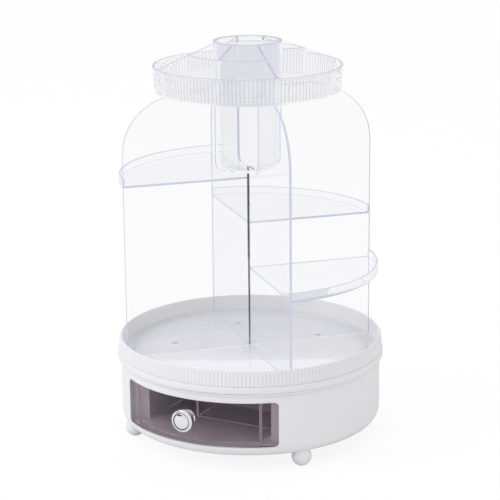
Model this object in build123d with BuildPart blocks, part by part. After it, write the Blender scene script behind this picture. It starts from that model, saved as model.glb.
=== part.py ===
"""Rotating makeup organizer: a white drum with a clear drawer carries a
turntable with clear crossed panels, quarter shelves and a divided top tray.

Millimetres. The origin is on the turning axis, on the surface the feet stand
on. +Z is up and the drawer opens towards -Y.
"""

from build123d import *
from math import cos, radians, sin, sqrt
import os

os.makedirs("parts", exist_ok=True)

# ------------------------------------------------------------------ sizes ---

# Fits
slip_fit = 0.1          # parts of one assembly that push together, per side
running_fit = 0.06      # hub on its boss, radial
moving_gap = 0.35       # between parts that move past each other
part_gap = 0.5          # drawer in its opening and on its sill

# Drum
drum_r = 112.0
drum_wall = 2.4
drum_edge_r = 10.0      # rounded lower edge
drum_wall_h = 53.0
post_r = 4.5            # screw posts that carry the deck
post_inset = 9.1        # from the inside of the wall to their centres
post_angles = (208, 332, 50, 130)

# Ball feet
foot_r = 8.3
foot_flat = 0.3         # depth of the small flat it stands on
foot_rise = 4.5         # from a ball's centre up to the drum's underside
foot_inset = 9.5        # from the drum's outside to their centres
foot_angles = (218.5, 321.5, 38.5, 141.5)
foot_boss_r = 10.5
foot_boss_h = 6.0

# Drawer opening, centred on -Y
opening_half = 70.8
sill_h = 6.7            # above the drum's floor
opening_h = 39.0
opening_corner_r = 3.6

# Deck
deck_plate_t = 2.2
deck_rim_t = 2.8        # height of its edge above the drum wall
deck_rim_w = 6.0
deck_skirt_w = 2.0
deck_skirt_h = 4.3
deck_dish = 3.3         # its plate lies this far below its edge
sleeve_wall = 3.0       # round the turntable's stem
sleeve_rise = 5.0       # above the plate
sleeve_drop = 6.0       # below the plate

# Screws
small_shank_r = 1.3
small_head_r = 2.7
small_head_h = 1.4
pivot_shank_r = 1.6
pivot_head_r = 5.0
pivot_head_h = 2.2
pivot_bore_l = 12.0     # up into the stem
washer_t = 0.8
deck_screw_l = 12.0     # into the posts
foot_bore_l = 12.0      # from the ball's top

# Ball bearing
ball_r = 2.4
ball_count = 12
ball_circle_r = 60.0
race_w = 12.0           # lower race, across
race_t = 2.6
race_gap = 1.3          # between the two races
cage_w = 9.0
race_screw_out = 6.7    # screws outside the circle of balls
race_screw_count = 5
race_land = 5.6         # upper race reaches this far past the screws

# Turntable tray
spin_gap = 1.0          # deck edge to tray flange
flange_w = 2.7          # past the rim
flange_h = 5.7
tray_overhang = 0.3     # rim past the drum
tray_wall = 1.4
tray_floor_t = 1.7
stem_r = 6.0
tray_wall_h = 14.4      # above its floor
tray_lip_h = 1.3
channel_w = 10.9        # the floor is lower along the wall
channel_d = 1.2
flute_depth = 0.9
flute_lean = 1.3        # the fluted band leans out by this towards the flange
tray_flutes = 216
ring_rs = (88.0, 76.0, 54.0, 42.0)   # shallow rings in the floor
ring_w = 1.2
ring_d = 0.25

# Clear disc on the tray floor
insert_t = 1.3
ring_boss_r = 6.4
ring_boss_wall = 1.2
ring_boss_h = 2.4
foot_groove = 0.3       # depth of the grooves that the panels stand in

# Crossed panels
panel_t = 2.0
panel_play = 0.9        # to the tray's wall
panel_h = 224.3
panel_corner_r = 48.0
notch_depth = 67.0
notch_corner_r = 8.0
notch_lip_r = 3.0
base_tab_w = 14.0
base_tab_rs = (38.0, 88.0)

# Quarter shelves: underside heights above the panels' foot
shelf_t = 1.8
shelf_low_h = 69.3
shelf_middle_h = 109.0
shelf_high_h = 148.5
shelf_rim_h = 8.0
shelf_rim_w = 1.6
shelf_tab_w = 10.0
shelf_tab_step = 0.2    # tabs lie below the shelf's top by this
shelf_tab_rs = (34.0, 84.0)

# Top tray
lift_gap = 0.35         # under the tray, on the panels
top_r = 79.9
top_h = 22.5
top_draft = 1.1         # the wall leans out by this over its height
top_wall = 2.1
top_floor_t = 2.0
top_edge_r = 1.5
top_lip_h = 1.9
top_band_h = 2.8        # plain band under the flutes
top_flutes = 148
collar_r = 29.0
collar_wall = 1.2
collar_h = 41.6
partition_t = 2.0
arc_partition_r = 51.0

# Brush cup
cup_rim_t = 0.9
cup_wall = 2.0
cup_floor_t = 3.0
cup_draft = 1.1         # narrower at its foot
cup_edge_r = 7.0

# Drawer
front_t = 2.6
front_recess = 0.8
front_corner_r = 3.2
tub_half = 58.0
tub_wall = 2.2
tub_floor_t = 2.0
tub_drop = 2.1          # its rim below the top of the front
tub_back_gap = 7.0      # behind it, to the sleeve
tub_fillet = 3.0
stop_rib_w = 1.1
stop_rib_t = 2.0
partition_y = 57.0
partition_x = -22.0
partition_h = 24.0
drawer_partition_t = 1.6

# Frame behind the drawer opening
cell_wall = 1.6
cell_floor_t = 1.6
jamb_depth = 10.3       # depth of its returns behind the drum's outside
cell_top_gap = 1.8
guide_play = 1.5

# Knob
knob_h = 23.2           # its axis above the sill
knob_base_r = 6.5
knob_base_t = 1.0
knob_neck_r = 4.6
knob_flare = 1.2        # length of the curve from base to neck
knob_neck_l = 4.0
knob_shoulder = 2.0     # length of the cone under the head
knob_head_r = 9.5
knob_l = 13.0
knob_round = 1.8
dome_inset = 2.3        # rim left round the dome
dome_recess = 0.7
dome_edge = 0.3
dome_h = 1.8
knob_shank_r = 1.5
knob_bore_l = 8.0
knob_washer_r = 4.0
knob_washer_t = 0.8
knob_screw_head_r = 3.2
knob_screw_head_h = 1.8

# --------------------------------------------------- levels worked out ------

foot_z = foot_r - foot_flat
foot_circle_r = drum_r - foot_inset
drum_bottom_z = foot_z + foot_rise
drum_floor_top = drum_bottom_z + drum_wall
drum_inner_r = drum_r - drum_wall
drum_top = drum_bottom_z + drum_wall_h
post_circle_r = drum_inner_r - post_inset
opening_sill_z = drum_floor_top + sill_h
opening_top = opening_sill_z + opening_h
deck_top = drum_top + deck_rim_t
deck_plate_top = deck_top - deck_dish
deck_plate_bottom = deck_plate_top - deck_plate_t
sleeve_bore_r = stem_r + running_fit
sleeve_r = sleeve_bore_r + sleeve_wall
sleeve_top = deck_plate_top + sleeve_rise
sleeve_bottom = deck_plate_bottom - sleeve_drop
race_top = deck_plate_top + race_t
ball_z = race_top + race_gap / 2
cage_t = race_gap - 2 * moving_gap
race_screw_circle_r = ball_circle_r + race_screw_out
tray_underside = race_top + race_gap + race_t
tray_floor_top = tray_underside + tray_floor_t
tray_top = tray_floor_top + tray_wall_h
tray_flange_bottom = deck_top + spin_gap
flange_top = tray_flange_bottom + flange_h
tray_rim_r = drum_r + tray_overhang
tray_inner_r = tray_rim_r - tray_wall
flange_r = tray_rim_r + flange_w
channel_r = tray_inner_r - channel_w
stem_bottom = sleeve_bottom - moving_gap
insert_top = tray_floor_top + insert_t
panel_half = tray_inner_r - panel_play
panel_foot = insert_top - foot_groove
panel_top = panel_foot + panel_h
shelf_tab_t = shelf_t - shelf_tab_step
notch_half = collar_r
notch_floor = panel_top - notch_depth
panel_lap = (panel_foot + notch_floor) / 2
top_bottom = panel_top + lift_gap
top_rim = top_bottom + top_h
collar_top = top_bottom + collar_h
collar_inner_r = collar_r - collar_wall
cup_top = collar_top + cup_rim_t
cup_bottom = notch_floor + lift_gap
cup_outer_r = collar_inner_r - slip_fit
cup_foot_r = cup_outer_r - cup_draft
front_r = drum_r - front_recess
front_inner_r = front_r - front_t
drawer_bottom = opening_sill_z + part_gap
tub_h = opening_h - 2 * part_gap - tub_drop
tub_top = drawer_bottom + tub_h
tub_back_y = sleeve_r + tub_back_gap
cell_inner = tub_half + guide_play
cell_back_y = tub_back_y - moving_gap
cell_top = deck_plate_bottom - cell_top_gap
jamb_y = sqrt(drum_r**2 - opening_half**2) - jamb_depth
knob_z = opening_sill_z + knob_h
dome_r = knob_head_r - dome_inset


def spots(radius, angles):
    """Points on a circle about the axis."""
    return [(radius * cos(radians(a)), radius * sin(radians(a))) for a in angles]


def radial_plane(angle):
    """Upright plane through the axis: local x runs outwards, local y up."""
    out = (cos(radians(angle)), sin(radians(angle)), 0)
    return Plane(origin=(0, 0, 0), x_dir=out, z_dir=(out[1], -out[0], 0))


def fluted_outline(radius, depth, count):
    """Corners of a ring of V flutes whose valleys lie on the radius."""
    step = 360 / count
    return [
        (r * cos(radians(a)), r * sin(radians(a)))
        for k in range(count)
        for r, a in ((radius, k * step), (radius + depth, (k + 0.5) * step))
    ]


# ------------------------------------------------------------------- drum ---

with BuildPart() as drum_blank:
    with Locations((0, 0, drum_bottom_z)):
        Cylinder(drum_r, drum_wall_h, align=(Align.CENTER, Align.CENTER, Align.MIN))
    fillet(drum_blank.faces().sort_by(Axis.Z)[0].edges(), drum_edge_r)

with BuildPart() as drum_shell:
    add(drum_blank.part)
    offset(amount=-drum_wall, openings=drum_shell.faces().sort_by(Axis.Z)[-1])
    # posts for the deck screws and bosses over the feet
    with BuildSketch(Plane.XY.offset(drum_floor_top - drum_wall / 2)):
        with Locations(*spots(post_circle_r, post_angles)):
            Circle(post_r)
    extrude(amount=deck_plate_bottom - drum_floor_top + drum_wall / 2)
    with BuildSketch(Plane.XY.offset(drum_floor_top - drum_wall / 2)):
        with Locations(*spots(foot_circle_r, foot_angles)):
            Circle(foot_boss_r)
    extrude(amount=foot_boss_h + drum_wall / 2)
    add(drum_blank.part, mode=Mode.INTERSECT)
    # wide opening with rounded corners
    with BuildSketch(Plane.XZ):
        with Locations((0, opening_sill_z + opening_h / 2)):
            RectangleRounded(2 * opening_half, opening_h, opening_corner_r)
    extrude(amount=drum_r + 1, mode=Mode.SUBTRACT)
    # round seats for the ball feet
    with Locations(*[(x, y, foot_z) for x, y in spots(foot_circle_r, foot_angles)]):
        Sphere(foot_r + slip_fit, mode=Mode.SUBTRACT)
    # bores for the deck and foot screws
    with BuildSketch(Plane.XY.offset(deck_plate_bottom)):
        with Locations(*spots(post_circle_r, post_angles)):
            Circle(small_shank_r + slip_fit)
    extrude(amount=-deck_screw_l, mode=Mode.SUBTRACT)
    with BuildSketch(Plane.XY.offset(drum_floor_top + foot_boss_h)):
        with Locations(*spots(foot_circle_r, foot_angles)):
            Circle(small_shank_r + slip_fit)
    extrude(amount=-(foot_boss_h + drum_wall + 1), mode=Mode.SUBTRACT)
drum_shell.part.label = "drum_shell"
export_step(drum_shell.part, "parts/drum_shell.step")

with BuildPart() as ball_feet:
    with Locations(*[(x, y, foot_z) for x, y in spots(foot_circle_r, foot_angles)]):
        Sphere(foot_r)
    split(bisect_by=Plane.XY, keep=Keep.TOP)
    with BuildSketch(Plane.XY.offset(foot_z + foot_r)):
        with Locations(*spots(foot_circle_r, foot_angles)):
            Circle(small_shank_r + slip_fit)
    extrude(amount=-foot_bore_l, mode=Mode.SUBTRACT)
ball_feet.part.label = "ball_feet"
export_step(ball_feet.part, "parts/ball_feet.step")

foot_screw_seat = drum_floor_top + foot_boss_h
with BuildPart() as foot_screws:
    with BuildSketch(Plane.XY.offset(foot_screw_seat)):
        with Locations(*spots(foot_circle_r, foot_angles)):
            Circle(small_head_r)
    extrude(amount=small_head_h)
    fillet(foot_screws.faces().group_by(Axis.Z)[-1].edges(), small_head_h / 3)
    with BuildSketch(Plane.XY.offset(foot_screw_seat)):
        with Locations(*spots(foot_circle_r, foot_angles)):
            Circle(small_shank_r)
    extrude(amount=-(foot_screw_seat - foot_z - foot_r + foot_bore_l - 1))
foot_screws.part.label = "foot_screws"
export_step(foot_screws.part, "parts/foot_screws.step")

# Frame behind the opening: returns at its sides, guides for the drawer, a sill
# it runs on and ribs that stop it.
cell_path = [
    (opening_half + cell_wall / 2, -drum_r),
    (opening_half + cell_wall / 2, -jamb_y + cell_wall / 2),
    (cell_inner + cell_wall / 2, -jamb_y + cell_wall / 2),
    (cell_inner + cell_wall / 2, -cell_back_y + cell_wall / 2),
]
cell_path += [(-x, y) for x, y in reversed(cell_path)]
with BuildPart() as drum_space:
    with Locations((0, 0, drum_floor_top)):
        Cylinder(
            drum_inner_r - slip_fit,
            drum_wall_h - drum_wall,
            align=(Align.CENTER, Align.CENTER, Align.MIN),
        )
    fillet(drum_space.faces().sort_by(Axis.Z)[0].edges(), drum_edge_r - drum_wall)

with BuildPart() as drawer_cell:
    with BuildSketch(Plane.XY.offset(drum_floor_top)):
        with BuildLine():
            cell_line = Polyline(*cell_path)
        trace(cell_line, cell_wall)
    extrude(amount=cell_top - drum_floor_top)
    with BuildSketch(Plane.XY.offset(opening_sill_z - slip_fit)):
        with BuildLine():
            Polyline(*cell_path, close=True)
        make_face()
    extrude(amount=-cell_floor_t)
    with BuildSketch(Plane.XY.offset(drum_floor_top)):
        with Locations((-tub_half / 3, -jamb_y), (tub_half / 3, -jamb_y)):
            Rectangle(cell_wall, jamb_y - cell_back_y, align=(Align.CENTER, Align.MIN))
    extrude(amount=opening_sill_z - slip_fit - cell_floor_t - drum_floor_top)
    # stop ribs at the front end of the guides
    with BuildSketch(Plane.XY.offset(opening_sill_z - slip_fit)):
        for side in (-1, 1):
            with Locations((side * (cell_inner - stop_rib_w / 2), -jamb_y + stop_rib_t / 2)):
                Rectangle(stop_rib_w, stop_rib_t)
    extrude(amount=cell_top - opening_sill_z)
    # fitted to the round inside of the drum
    add(drum_space.part, mode=Mode.INTERSECT)
drawer_cell.part.label = "drawer_cell"
export_step(drawer_cell.part, "parts/drawer_cell.step")

# ------------------------------------------------------- deck and pivot -----

with BuildPart() as drum_deck:
    skirt_r = drum_inner_r - slip_fit
    with BuildSketch(Plane.XZ):
        with BuildLine():
            Polyline(
                (sleeve_bore_r, sleeve_bottom),
                (sleeve_r, sleeve_bottom),
                (sleeve_r, deck_plate_bottom),
                (skirt_r - deck_skirt_w, deck_plate_bottom),
                (skirt_r - deck_skirt_w, drum_top - deck_skirt_h),
                (skirt_r, drum_top - deck_skirt_h),
                (skirt_r, drum_top),
                (drum_r, drum_top),
                (drum_r, deck_top),
                (drum_r - deck_rim_w, deck_top),
                (drum_r - deck_rim_w, deck_plate_top),
                (sleeve_r, deck_plate_top),
                (sleeve_r, sleeve_top),
                (sleeve_bore_r, sleeve_top),
                close=True,
            )
        make_face()
    revolve(axis=Axis.Z)
    fillet(drum_deck.edges().filter_by_position(Axis.Z, deck_top, deck_top), deck_rim_t / 4)
    with Locations(*[(x, y, deck_plate_top) for x, y in spots(post_circle_r, post_angles)]):
        CounterSinkHole(small_shank_r + slip_fit, small_head_r, depth=deck_plate_t, counter_sink_angle=90)
drum_deck.part.label = "drum_deck"
export_step(drum_deck.part, "parts/drum_deck.step")

with BuildPart() as deck_screws:
    with BuildSketch(Plane.XY.offset(deck_plate_top - slip_fit)):
        with Locations(*spots(post_circle_r, post_angles)):
            Circle(small_shank_r)
    extrude(amount=-(deck_plate_t + deck_screw_l - 1))
    for x, y in spots(post_circle_r, post_angles):
        with Locations((x, y, deck_plate_top - slip_fit)):
            Cone(
                small_shank_r,
                small_head_r - 2 * slip_fit,
                small_head_r - 2 * slip_fit - small_shank_r,
                align=(Align.CENTER, Align.CENTER, Align.MAX),
            )
deck_screws.part.label = "deck_screws"
export_step(deck_screws.part, "parts/deck_screws.step")

# washer and screw under the turntable's stem keep it from lifting off
with BuildPart() as pivot_washer:
    with BuildSketch(Plane.XY.offset(stem_bottom)):
        Circle(sleeve_r)
        Circle(pivot_shank_r + slip_fit, mode=Mode.SUBTRACT)
    extrude(amount=-washer_t)
    chamfer(pivot_washer.faces().sort_by(Axis.Z)[0].edges().sort_by(SortBy.RADIUS)[-1], washer_t / 4)
pivot_washer.part.label = "pivot_washer"
export_step(pivot_washer.part, "parts/pivot_washer.step")

with BuildPart() as pivot_screw:
    with BuildSketch(Plane.XY.offset(stem_bottom - washer_t)):
        Circle(pivot_head_r)
    extrude(amount=-pivot_head_h)
    fillet(pivot_screw.faces().sort_by(Axis.Z)[0].edges(), pivot_head_h / 2.5)
    with BuildSketch(Plane.XY.offset(stem_bottom - washer_t)):
        Circle(pivot_shank_r)
    extrude(amount=washer_t + pivot_bore_l - 1)
pivot_screw.part.label = "pivot_screw"
export_step(pivot_screw.part, "parts/pivot_screw.step")

# ---------------------------------------------------------- ball bearing ----

with BuildPart() as lower_race:
    with BuildSketch(Plane.XY.offset(deck_plate_top)):
        Circle(ball_circle_r + race_w / 2)
        Circle(ball_circle_r - race_w / 2, mode=Mode.SUBTRACT)
    extrude(amount=race_t)
    with Locations((0, 0, ball_z)):
        Torus(ball_circle_r, ball_r + moving_gap, mode=Mode.SUBTRACT)
lower_race.part.label = "lower_race"
export_step(lower_race.part, "parts/lower_race.step")

with BuildPart() as upper_race:
    with BuildSketch(Plane.XY.offset(tray_underside)):
        Circle(race_screw_circle_r + race_land)
        Circle(ball_circle_r - race_w / 2, mode=Mode.SUBTRACT)
    extrude(amount=-race_t)
    with Locations((0, 0, ball_z)):
        Torus(ball_circle_r, ball_r + moving_gap, mode=Mode.SUBTRACT)
    with BuildSketch(Plane.XY.offset(tray_underside)):
        with PolarLocations(race_screw_circle_r, race_screw_count, start_angle=270):
            Circle(small_shank_r + slip_fit)
    extrude(amount=-race_t, mode=Mode.SUBTRACT)
upper_race.part.label = "upper_race"
export_step(upper_race.part, "parts/upper_race.step")

with BuildPart() as bearing_cage:
    with BuildSketch(Plane.XY.offset(ball_z - cage_t / 2)):
        Circle(ball_circle_r + cage_w / 2)
        Circle(ball_circle_r - cage_w / 2, mode=Mode.SUBTRACT)
        with PolarLocations(ball_circle_r, ball_count):
            Circle(ball_r + slip_fit, mode=Mode.SUBTRACT)
    extrude(amount=cage_t)
bearing_cage.part.label = "bearing_cage"
export_step(bearing_cage.part, "parts/bearing_cage.step")

with BuildPart() as bearing_balls:
    with Locations(Plane.XY.offset(ball_z)):
        with PolarLocations(ball_circle_r, ball_count):
            Sphere(ball_r)
bearing_balls.part.label = "bearing_balls"
export_step(bearing_balls.part, "parts/bearing_balls.step")

# ---------------------------------------------------------- turntable -------

flute_root_r = tray_rim_r - slip_fit
race_screw_sink = tray_floor_t / 2
race_screw_seat = tray_floor_top - race_screw_sink
with BuildPart() as turntable_tray:
    with BuildSketch(Plane.XY.offset(flange_top)):
        Polygon(*fluted_outline(flute_root_r + flute_lean, flute_depth, tray_flutes), align=None)
    with BuildSketch(Plane.XY.offset(tray_top - tray_lip_h)):
        Polygon(*fluted_outline(flute_root_r, flute_depth, tray_flutes), align=None)
    loft(ruled=True)
    with BuildSketch(Plane.XZ):
        with BuildLine():
            Polyline(
                (0, tray_floor_top),
                (0, tray_underside),
                (channel_r - channel_d, tray_underside),
                (channel_r, tray_underside - channel_d),
                (tray_inner_r - channel_d, tray_underside - channel_d),
                (tray_inner_r - channel_d, tray_flange_bottom),
                (flange_r, tray_flange_bottom),
                (flange_r, flange_top),
                (flute_root_r + flute_lean, flange_top),
                (tray_rim_r, tray_top - tray_lip_h),
                (tray_rim_r, tray_top),
                (0, tray_top),
                close=True,
            )
        make_face()
    revolve(axis=Axis.Z)
    # inside: raised floor, lower channel along the wall
    with BuildSketch(Plane.XY.offset(tray_floor_top)):
        Circle(tray_inner_r)
    extrude(amount=tray_wall_h, mode=Mode.SUBTRACT)
    with BuildSketch(Plane.XY.offset(tray_floor_top)):
        Circle(tray_inner_r)
        Circle(channel_r, mode=Mode.SUBTRACT)
    extrude(amount=-channel_d, mode=Mode.SUBTRACT)
    fillet(turntable_tray.edges().filter_by_position(Axis.Z, tray_top, tray_top), tray_wall / 2.5)
    with BuildSketch(Plane.XY.offset(tray_floor_top)):
        for r in ring_rs:
            Circle(r + ring_w / 2)
            Circle(r - ring_w / 2, mode=Mode.SUBTRACT)
    extrude(amount=-ring_d, mode=Mode.SUBTRACT)
    # stem that turns in the deck's sleeve
    with BuildSketch(Plane.XY.offset(tray_underside)):
        Circle(stem_r)
    extrude(amount=stem_bottom - tray_underside)
    with BuildSketch(Plane.XY.offset(stem_bottom)):
        Circle(pivot_shank_r + slip_fit)
    extrude(amount=pivot_bore_l, mode=Mode.SUBTRACT)
    # race screws, heads sunk in the floor
    with Locations(Plane.XY.offset(tray_floor_top)):
        with PolarLocations(race_screw_circle_r, race_screw_count, start_angle=270):
            CounterBoreHole(
                small_shank_r + slip_fit,
                small_head_r + slip_fit,
                race_screw_sink,
                depth=tray_floor_t,
            )
turntable_tray.part.label = "turntable_tray"
export_step(turntable_tray.part, "parts/turntable_tray.step")

with BuildPart() as race_screws:
    with BuildSketch(Plane.XY.offset(race_screw_seat)):
        with PolarLocations(race_screw_circle_r, race_screw_count, start_angle=270):
            Circle(small_head_r)
    extrude(amount=race_screw_sink - slip_fit)
    with BuildSketch(Plane.XY.offset(race_screw_seat)):
        with PolarLocations(race_screw_circle_r, race_screw_count, start_angle=270):
            Circle(small_shank_r)
    extrude(amount=-(race_screw_seat - tray_underside + race_t - slip_fit))
race_screws.part.label = "race_screws"
export_step(race_screws.part, "parts/race_screws.step")

with BuildPart() as tray_insert:
    with BuildSketch(Plane.XY.offset(tray_floor_top)):
        Circle(tray_inner_r - part_gap)
    extrude(amount=insert_t)
    with BuildSketch(Plane.XY.offset(insert_top)):
        Circle(ring_boss_r)
        Circle(ring_boss_r - ring_boss_wall, mode=Mode.SUBTRACT)
    extrude(amount=ring_boss_h)
    # grooves for the panels' feet, on through the ring; sockets for their tabs
    with BuildSketch(Plane.XY.offset(panel_foot)):
        for angle in (45, 135):
            Rectangle(2 * tray_inner_r, panel_t + 2 * slip_fit, rotation=angle)
    extrude(amount=foot_groove + ring_boss_h, mode=Mode.SUBTRACT)
    with BuildSketch(Plane.XY.offset(insert_top)):
        for r in base_tab_rs:
            with PolarLocations(r, 4, start_angle=45):
                Rectangle(base_tab_w + 2 * slip_fit, panel_t + 2 * slip_fit)
    extrude(amount=-insert_t, mode=Mode.SUBTRACT)
tray_insert.part.label = "tray_insert"
export_step(tray_insert.part, "parts/tray_insert.step")

# ------------------------------------------------- panels and shelves -------

# angle where each shelf's sector starts, and its height above the panels' foot
shelf_places = ((135, shelf_high_h), (45, shelf_middle_h), (-45, shelf_low_h))


def tab_spots(arm):
    """Centres of a panel's windows for the shelves that tab into it."""
    found = []
    for start, height in shelf_places:
        for edge in (start, start + 90):
            for side, turn in ((1, 0), (-1, 180)):
                if (edge - arm - turn) % 360 == 0:
                    found += [(side * r, panel_foot + height + shelf_tab_t / 2) for r in shelf_tab_rs]
    return found


# Face of a panel: arched shoulders, the notch for the cup, tabs at its foot
with BuildSketch() as panel_face:
    with Locations((0, panel_foot)):
        Rectangle(2 * panel_half, panel_h, align=(Align.CENTER, Align.MIN))
    fillet(panel_face.vertices().group_by(Axis.Y)[-1], panel_corner_r)
    with Locations((0, panel_top)):
        Rectangle(2 * notch_half, notch_depth, align=(Align.CENTER, Align.MAX), mode=Mode.SUBTRACT)
    fillet(panel_face.vertices().filter_by_position(Axis.Y, notch_floor, notch_floor), notch_corner_r)
    notch_lips = panel_face.vertices().filter_by_position(Axis.X, -notch_half, notch_half)
    fillet(notch_lips.filter_by_position(Axis.Y, panel_top, panel_top), notch_lip_r)
    for r in base_tab_rs:
        with Locations((r, panel_foot), (-r, panel_foot)):
            Rectangle(base_tab_w, insert_t - foot_groove - slip_fit, align=(Align.CENTER, Align.MAX))

with BuildPart() as divider_panel_a:
    with BuildSketch(radial_plane(45)):
        add(panel_face.sketch)
        with Locations(*tab_spots(45)):
            Rectangle(shelf_tab_w + 2 * slip_fit, shelf_tab_t + 2 * slip_fit, mode=Mode.SUBTRACT)
        with Locations((0, panel_lap)):
            Rectangle(panel_t + 2 * slip_fit, panel_h, align=(Align.CENTER, Align.MIN), mode=Mode.SUBTRACT)
    extrude(amount=panel_t / 2, both=True)
divider_panel_a.part.label = "divider_panel_a"
export_step(divider_panel_a.part, "parts/divider_panel_a.step")

with BuildPart() as divider_panel_b:
    with BuildSketch(radial_plane(135)):
        add(panel_face.sketch)
        with Locations(*tab_spots(135)):
            Rectangle(shelf_tab_w + 2 * slip_fit, shelf_tab_t + 2 * slip_fit, mode=Mode.SUBTRACT)
        with Locations((0, panel_lap)):
            Rectangle(panel_t + 2 * slip_fit, panel_h, align=(Align.CENTER, Align.MAX), mode=Mode.SUBTRACT)
    extrude(amount=panel_t / 2, both=True)
divider_panel_b.part.label = "divider_panel_b"
export_step(divider_panel_b.part, "parts/divider_panel_b.step")

# Quarter disc with a raised rim on its arc and tabs on both straight edges
shelf_edge = panel_t / 2 + slip_fit
with BuildPart() as shelf_blank:
    with BuildSketch(Plane.XY):
        Circle(panel_half)
        with Locations((shelf_edge, shelf_edge)):
            Rectangle(panel_half, panel_half, align=(Align.MIN, Align.MIN), mode=Mode.INTERSECT)
    extrude(amount=shelf_t)
    with BuildSketch(Plane.XY):
        for r in shelf_tab_rs:
            with Locations((r, shelf_edge + shelf_tab_step)):
                Rectangle(shelf_tab_w, panel_t + shelf_tab_step, align=(Align.CENTER, Align.MAX))
            with Locations((shelf_edge + shelf_tab_step, r)):
                Rectangle(panel_t + shelf_tab_step, shelf_tab_w, align=(Align.MAX, Align.CENTER))
    extrude(amount=shelf_tab_t)
    with BuildSketch(Plane.XY):
        Circle(panel_half)
        Circle(panel_half - shelf_rim_w, mode=Mode.SUBTRACT)
        with Locations((shelf_edge, shelf_edge)):
            Rectangle(panel_half, panel_half, align=(Align.MIN, Align.MIN), mode=Mode.INTERSECT)
    extrude(amount=shelf_rim_h)

with BuildPart() as shelf_high:
    with Locations((0, 0, panel_foot + shelf_places[0][1])):
        add(shelf_blank.part, rotation=(0, 0, shelf_places[0][0]))
shelf_high.part.label = "shelf_high"
export_step(shelf_high.part, "parts/shelf_high.step")

with BuildPart() as shelf_middle:
    with Locations((0, 0, panel_foot + shelf_places[1][1])):
        add(shelf_blank.part, rotation=(0, 0, shelf_places[1][0]))
shelf_middle.part.label = "shelf_middle"
export_step(shelf_middle.part, "parts/shelf_middle.step")

with BuildPart() as shelf_low:
    with Locations((0, 0, panel_foot + shelf_places[2][1])):
        add(shelf_blank.part, rotation=(0, 0, shelf_places[2][0]))
shelf_low.part.label = "shelf_low"
export_step(shelf_low.part, "parts/shelf_low.step")

# ------------------------------------------------------------- top tray -----

top_base_r = top_r - top_draft          # wall radius at its foot
top_slope = top_draft / top_h


def top_wall_r(z):
    """Outside radius of the top tray's wall at a height."""
    return top_base_r + top_slope * (z - top_bottom)


collar_mid_r = collar_r - collar_wall / 2
floor_mid = top_bottom + top_floor_t / 2
wall_end_r = top_wall_r(floor_mid) - top_wall * 0.75    # partitions end inside the wall
slope_end_r = top_r - top_wall * 0.75
arc_top = collar_top - (collar_top - top_rim) * (arc_partition_r - collar_mid_r) / (slope_end_r - collar_mid_r)
with BuildPart() as top_tray:
    flute_low = top_bottom + top_band_h
    flute_high = top_rim - top_lip_h
    with BuildSketch(Plane.XY.offset(flute_low)):
        Polygon(*fluted_outline(top_wall_r(flute_low) - flute_depth, flute_depth, top_flutes), align=None)
    with BuildSketch(Plane.XY.offset(flute_high)):
        Polygon(*fluted_outline(top_wall_r(flute_high) - flute_depth, flute_depth, top_flutes), align=None)
    loft(ruled=True)
    with BuildSketch(Plane.XZ):
        with BuildLine():
            Polyline(
                (0, top_bottom),
                (top_base_r - flute_depth, top_bottom),
                (top_wall_r(flute_low) - flute_depth, flute_low),
                (top_wall_r(flute_high) - flute_depth, flute_high),
                (top_wall_r(flute_high), flute_high),
                (top_r, top_rim),
                (0, top_rim),
                close=True,
            )
        make_face()
    revolve(axis=Axis.Z)
    fillet(top_tray.edges().filter_by_position(Axis.Z, top_bottom, top_bottom), top_edge_r)
    # hollow, following the wall's lean
    with BuildSketch(Plane.XZ):
        with BuildLine():
            Polyline(
                (0, top_bottom + top_floor_t),
                (top_base_r - top_wall, top_bottom + top_floor_t),
                (top_r - top_wall, top_rim),
                (0, top_rim),
                close=True,
            )
        make_face()
    revolve(axis=Axis.Z, mode=Mode.SUBTRACT)
    # collar for the cup and the partitions round it
    with BuildSketch(Plane.XY.offset(top_bottom)):
        Circle(collar_r)
    extrude(amount=collar_h)
    for angle in (45, 135, 225, 315):
        with BuildSketch(radial_plane(angle)):
            Polygon(
                (collar_mid_r, floor_mid),
                (wall_end_r, floor_mid),
                (slope_end_r, top_rim - slip_fit),
                (collar_mid_r, collar_top - slip_fit),
                align=None,
            )
        extrude(amount=partition_t / 2, both=True)
    for angle in (90, 270):
        with BuildSketch(radial_plane(angle)):
            Polygon(
                (collar_mid_r, floor_mid),
                (arc_partition_r, floor_mid),
                (arc_partition_r, arc_top),
                (collar_mid_r, collar_top - slip_fit),
                align=None,
            )
        extrude(amount=partition_t / 2, both=True)
    with BuildSketch(Plane.XY.offset(floor_mid)):
        for angle in (45, 225):
            with BuildLine():
                arc = CenterArc((0, 0), arc_partition_r, angle, 90)
            trace(arc, partition_t)
    extrude(amount=arc_top - floor_mid)
    with Locations((0, 0, top_bottom)):
        Cylinder(collar_inner_r, collar_h, align=(Align.CENTER, Align.CENTER, Align.MIN), mode=Mode.SUBTRACT)
top_tray.part.label = "top_tray"
export_step(top_tray.part, "parts/top_tray.step")

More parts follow.
